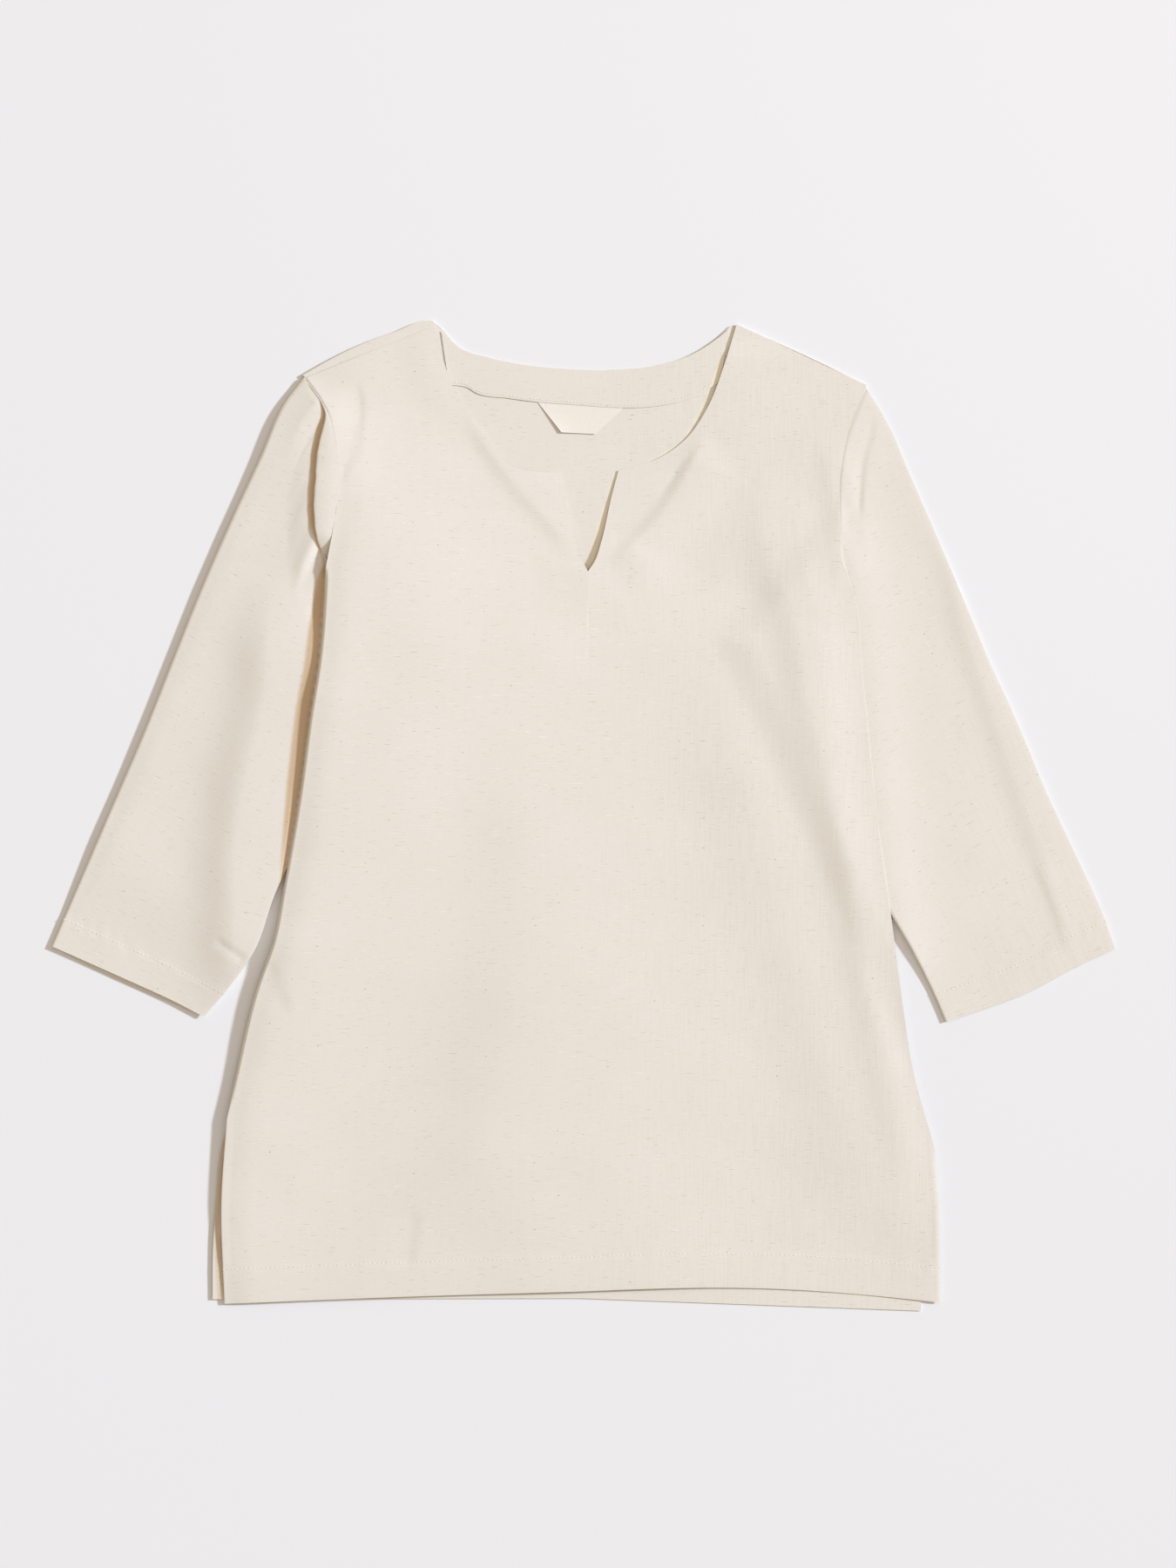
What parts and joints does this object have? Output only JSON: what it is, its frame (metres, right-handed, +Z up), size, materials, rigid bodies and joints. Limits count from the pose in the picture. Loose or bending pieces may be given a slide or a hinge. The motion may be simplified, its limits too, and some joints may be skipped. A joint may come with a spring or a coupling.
{
  "type": "kurta tunic",
  "caption": "Straight pull-on kurta tunic in undyed slubbed cloth, laid flat with a round slit neck, elbow-length sleeves and side vents.",
  "frame": {"origin": "middle of the laid garment's bounding box, on the surface it rests on", "axes": "+X across the garment to the sleeve on the viewer's right, +Y from the hem to the neck, +Z up out of the surface, front side up"},
  "size_m": [0.8196, 0.7622, 0.0141],
  "materials": {
    "cloth": "undyed plain-weave cotton and linen with short slubs and dark flecks, matt",
    "label": "smooth fine woven label, bare, matt"
  },
  "bodies": {
    "root": {"front_panel": "cloth", "back_panel": "cloth", "sleeve_left": "cloth", "sleeve_right": "cloth", "back_neck_facing": "cloth", "neck_label": "label"}
  },
  "joints": []
}
